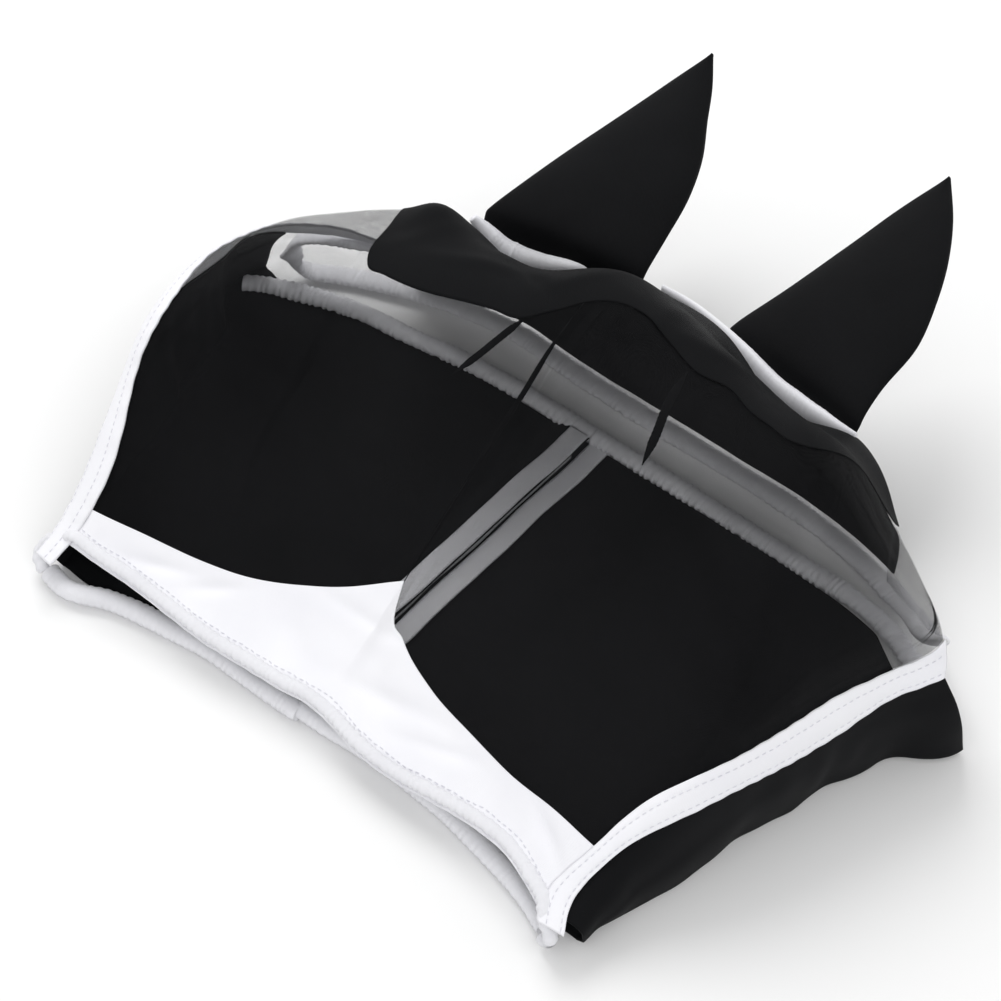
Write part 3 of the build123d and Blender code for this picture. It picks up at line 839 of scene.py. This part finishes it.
def jaw_panel(side, word):
    """One jaw half in one piece: the standing side, the hem under it and the flap on the table."""
    along, down = np.linspace(0, 1, 170), np.linspace(0, 1, 36)
    wall = jaw_wall(side, along, down)
    foot = wall[:, -1]
    flat = jaw_flap(side, foot, along)
    turn = np.linspace(0, 1, 9)[1:-1]
    hem = mixed(foot[:, None], flat[:, :1], turn[None, :, None])
    hem[..., 0] = foot[:, None, 0] - side * HEM * turn[None, :]
    panel = cloth(f"jaw_panel_{word}_cloth", np.concatenate([wall, hem, flat], axis=1), 0.9)
    dress(panel, "black_stretch", None, f"jaw_side_{word}", f"jaw_flap_{word}")
    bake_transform(panel)


# ---- ears ----------------------------------------------------------------------------------------
EAR_INNER, EAR_OUTER, EAR_TIP = (30, 311, 73), (124, 292, 80), (79, 436, 123)
EAR_ROOT, EAR_TOP = -24, 140.5       # heights from the line where an ear is sewn on
# each ear's two edges: (height, distance along its base line)
EAR_EDGES = {
    1: ([(0, -49.5), (37, -41), (76, -34), (109, -28.5), (141, -21)],
        [(0, 48), (23, 43), (55, 39), (78, 29), (102, 15), (122, -1), (141, -21)]),
    -1: ([(0, -48), (47, -26), (96, -1), (120, 11), (141, 22)],
         [(0, 49), (27, 50), (57, 50), (80, 46), (102, 38), (122, 31), (141, 22)]),
}
EAR_BELLY = [(-24, 4.0), (0, 6.5), (40, 10), (80, 8.5), (115, 5), (141, 1.2)]
# the piping in front of each ear: its line, its size along it, how far it is shifted, and its width
EAR_TRIM_SHIFT = {-1: (0, 0, 0), 1: (-2, 2.5, -3.8)}
EAR_TRIM_WIDE, EAR_TRIM_TALL = {-1: 15.0, 1: 10.0}, 19.0
EAR_TRIM_LINE = {-1: [(-128, 288, 74), (-120, 292, 63), (-106, 296, 53), (-86, 299, 56), (-67, 302, 63),
                      (-56, 306, 66)],
                 1: [(-11, 308, 79), (8, 306, 80), (31, 304, 76), (50, 302, 69), (70, 299, 63), (92, 295, 64),
                     (113, 291, 70), (127, 290, 75)]}
EAR_TRIM_SIZES = {-1: (0.3, 0.75, 1.0, 0.75, 0.5, 0.2), 1: (0.3, 0.45, 0.6, 0.85, 1.0, 1.0, 0.8, 0.3)}


def ear_axes(side):
    inner, outer, tip = (np.array((side * a, b, c), float) for a, b, c in (EAR_INNER, EAR_OUTER, EAR_TIP))
    middle = (inner + outer) / 2
    along = (outer - inner) * side
    along /= np.linalg.norm(along)
    face = np.cross(along, tip - middle)
    face /= np.linalg.norm(face)
    return middle, along, np.cross(face, along), face


def ear_root(height, up):
    """The ear's middle line by height, bent down smoothly where it goes into the hood."""
    steep = 0.5 - 0.5 * np.tanh((height - 2) / 9)
    turn = up + steep[:, None] * (np.array([0, 0, 1.0]) - up) * 0.8
    steps = np.concatenate([[[0, 0, 0]], np.cumsum(turn[1:] * np.diff(height)[:, None], axis=0)])
    return steps - steps[-1] + height[-1] * up


def ear(side, word):
    middle, along, up, face = ear_axes(side)
    height, share = np.linspace(EAR_ROOT, EAR_TOP, 100), np.linspace(-1, 1, 61)
    lower, upper = EAR_EDGES[side]
    left, right = through(lower, np.maximum(height, 0)), through(upper, np.maximum(height, 0))
    half = (right - left) / 2
    belly = through(EAR_BELLY, height)
    root = ear_root(height, up)
    profile = np.power(np.clip(1 - share**2, 0, 1), 0.62)[None, :]
    for front, half_word in ((1, "front"), (-1, "back")):
        a = (left + right)[:, None] / 2 + half[:, None] * share[None, :]
        crease = 0.8 * np.sin(height / 16 + 2)[:, None] * profile * share[None, :]
        rise = front * (belly[:, None] * profile + crease)
        grid = middle + a[..., None] * along + root[:, None, :] + rise[..., None] * face
        normal = outward(grid, middle + 60 * up - 20 * front * face)
        grid = mixed(grid, soften(grid, normal, 1.5), profile[..., None])
        half_ear = cloth(f"ear_{word}_{half_word}_cloth", grid, 0.8)
        dress(half_ear, "black_stretch", None, f"ear_{word}_{half_word}")
        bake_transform(half_ear)


def ear_trim(side, word):
    sized = zip(EAR_TRIM_LINE[side], EAR_TRIM_SIZES[side])
    shift_x, shift_d, shift_z = EAR_TRIM_SHIFT[side]
    line = [(x + shift_x, d + shift_d - 3 * size, z + shift_z + 7 * size) for (x, d, z), size in sized]
    piping = ruched(f"ear_trim_{word}_piping", line, (EAR_TRIM_WIDE[side], EAR_TRIM_TALL), 5 + side,
                    fine=0.25, lump=0.4, sizes=EAR_TRIM_SIZES[side])
    dress(piping, "white_satin", "mask", f"ear_trim_{word}")


# ---- bindings, closure and seams -----------------------------------------------------------------
def on_roof(places, rise):
    """Points on the hood over (x, distance) places, raised a little."""
    x, d = np.array(places, float).T
    return hood(q_at_x(x, d), d) + (0, 0, rise)


def bound_edge(name, line, section, seed, body, sizes=(1, 1), gather=0.4):
    """A ruched binding with its flat elastic inside."""
    wide, tall = section
    binding = ruched(f"{name}_binding_cloth", line, section, seed, fine=gather, sizes=sizes)
    dress(binding, "white_binding", body, bound_node(name, "binding"))
    band = elastic(f"{name}_elastic_band", line, wide * 0.5, tall * 0.25)
    dress(band, "white_elastic", body, bound_node(name, "elastic"))


def bound_node(name, kind):
    """The CAD node of a binding or its elastic: chin_left gives chin_binding_left."""
    place, _, word = name.partition("_")
    return f"{place}_{kind}_{word}" if word else f"{place}_{kind}"


def bindings():
    roof = on_roof([(x, nose_front(x) + 5.4) for x in np.linspace(-164, 156, 30)], 2.2)
    nose = NOSE_CORNER[-1] + [tuple(p) for p in roof] + NOSE_CORNER[1]
    bound_edge("nose", nose, (7.2, 5.0), 3, "mask")
    poll = [rear_corner(-1)] + POLL_CORNER[-1] + [(x, d, POLL_Z) for x, d in POLL_BACK]
    poll += POLL_CORNER[1][::-1] + [rear_corner(1)]
    ends = (0.35, 0.8) + 20 * (1,) + (0.8, 0.35)
    bound_edge("poll", poll, (13.0, 6.5), 9, "mask", sizes=ends)
    for side, word in ((1, "left"), (-1, "right")):
        body = f"jaw_flap_{word}"
        chin = [(x, d + 0.5 + 0.5 * side, 5.5) for x, d in CHIN_LINE[side]]
        throat = [(x, d, 5.0) for x, d in THROAT_LINE[side]]
        bound_edge(f"chin_{word}", chin, (11.0, 10.0), 13 + side, body)
        bound_edge(f"throat_{word}", throat, (11.0, 8.0), 17 + side, body, gather=0.8)


def strip(name, x0, x1, d0, d1, z, thick, seed):
    """A straight tape lying along the mask, a little uneven."""
    x, d = np.linspace(x0, x1, 10), np.linspace(d0, d1, 160)
    grid = np.zeros((len(x), len(d), 3))
    grid[..., 0], grid[..., 1], grid[..., 2] = x[:, None], d[None, :], z
    sway = wander(np.stack([0 * d, d, 0 * d], axis=1), 35, seed)
    grid[..., 0] += 1.2 * sway[None, :]
    grid[..., 2] += 0.25 * (1 + wander(grid, 12, seed))
    return cloth(name, grid, thick)


# tapes of the closure: x from and to, distance from and to, z, slot, body
CLOSURE = {
    "hook_tape": (CLOSURE_X - OVERLAP + 2, CLOSURE_X - 1, 36, 236, 2.7, "hook_tape", "jaw_flap_left"),
    "loop_tape": (CLOSURE_X - OVERLAP + 2, CLOSURE_X - 1, 36, 236, 4.7, "loop_tape", "jaw_flap_right"),
    "closure_facing_left": (CLOSURE_X + 1.5, CLOSURE_X + 13.5, 25, 250, 3.4, "white_satin", "jaw_flap_left"),
    "closure_facing_right": (CLOSURE_X - 12, CLOSURE_X, 25, 250, 8.4, "white_satin", "jaw_flap_right"),
}


def closure():
    for index, (cad, (x0, x1, d0, d1, z, slot, body)) in enumerate(CLOSURE.items()):
        dress(strip(f"{cad}_strip", x0, x1, d0, d1, z, 1.2, 101 + index), slot, body, cad)


def seam_line(name, plan, cad, wide):
    """A flat overlocked seam under the mesh along a line of the plan, narrower at its ends."""
    step = 0.8
    path = smooth_path(on_roof(plan, -0.4), step)
    run = np.arange(len(path)) * step
    taper = np.clip(np.sin(np.linspace(0.05, math.pi - 0.05, len(path))) * 1.5, 0.15, 1)

    def shape(i, angle):
        size = (1 + 0.1 * np.sin(run[i] * 2 * math.pi / 2.6 + 2 * angle)) * taper[i]
        return size * wide / 2 * np.cos(angle), size * 0.5 * np.sin(angle)

    dress(tube(name, path, shape), "seam_thread", "mask", cad)


# seams inside the mesh: (x, distance) places and width
SEAMS = {
    "face_seam": ([(0, 84), (0, 110), (0, 140), (0, 175), (0, 200), (0, 219)], 3.0),
    "brow_dart_right": ([(-38, 166), (-33, 176), (-25, 192), (-20, 203)], 4.6),
    "brow_dart_left": ([(77, 172), (74, 186), (70, 200), (67, 219)], 4.6),
}


def seams():
    for cad, (plan, wide) in SEAMS.items():
        seam_line(f"{cad}_overlock", plan, cad, wide)


camera()
studio()
nose_band()
for side, word in ((1, "left"), (-1, "right")):
    eye_mesh(side, word)
    cheek_trim(side, word)
    jaw_panel(side, word)
    ear(side, word)
    ear_trim(side, word)
crown_band()
poll_panel()
bindings()
closure()
seams()
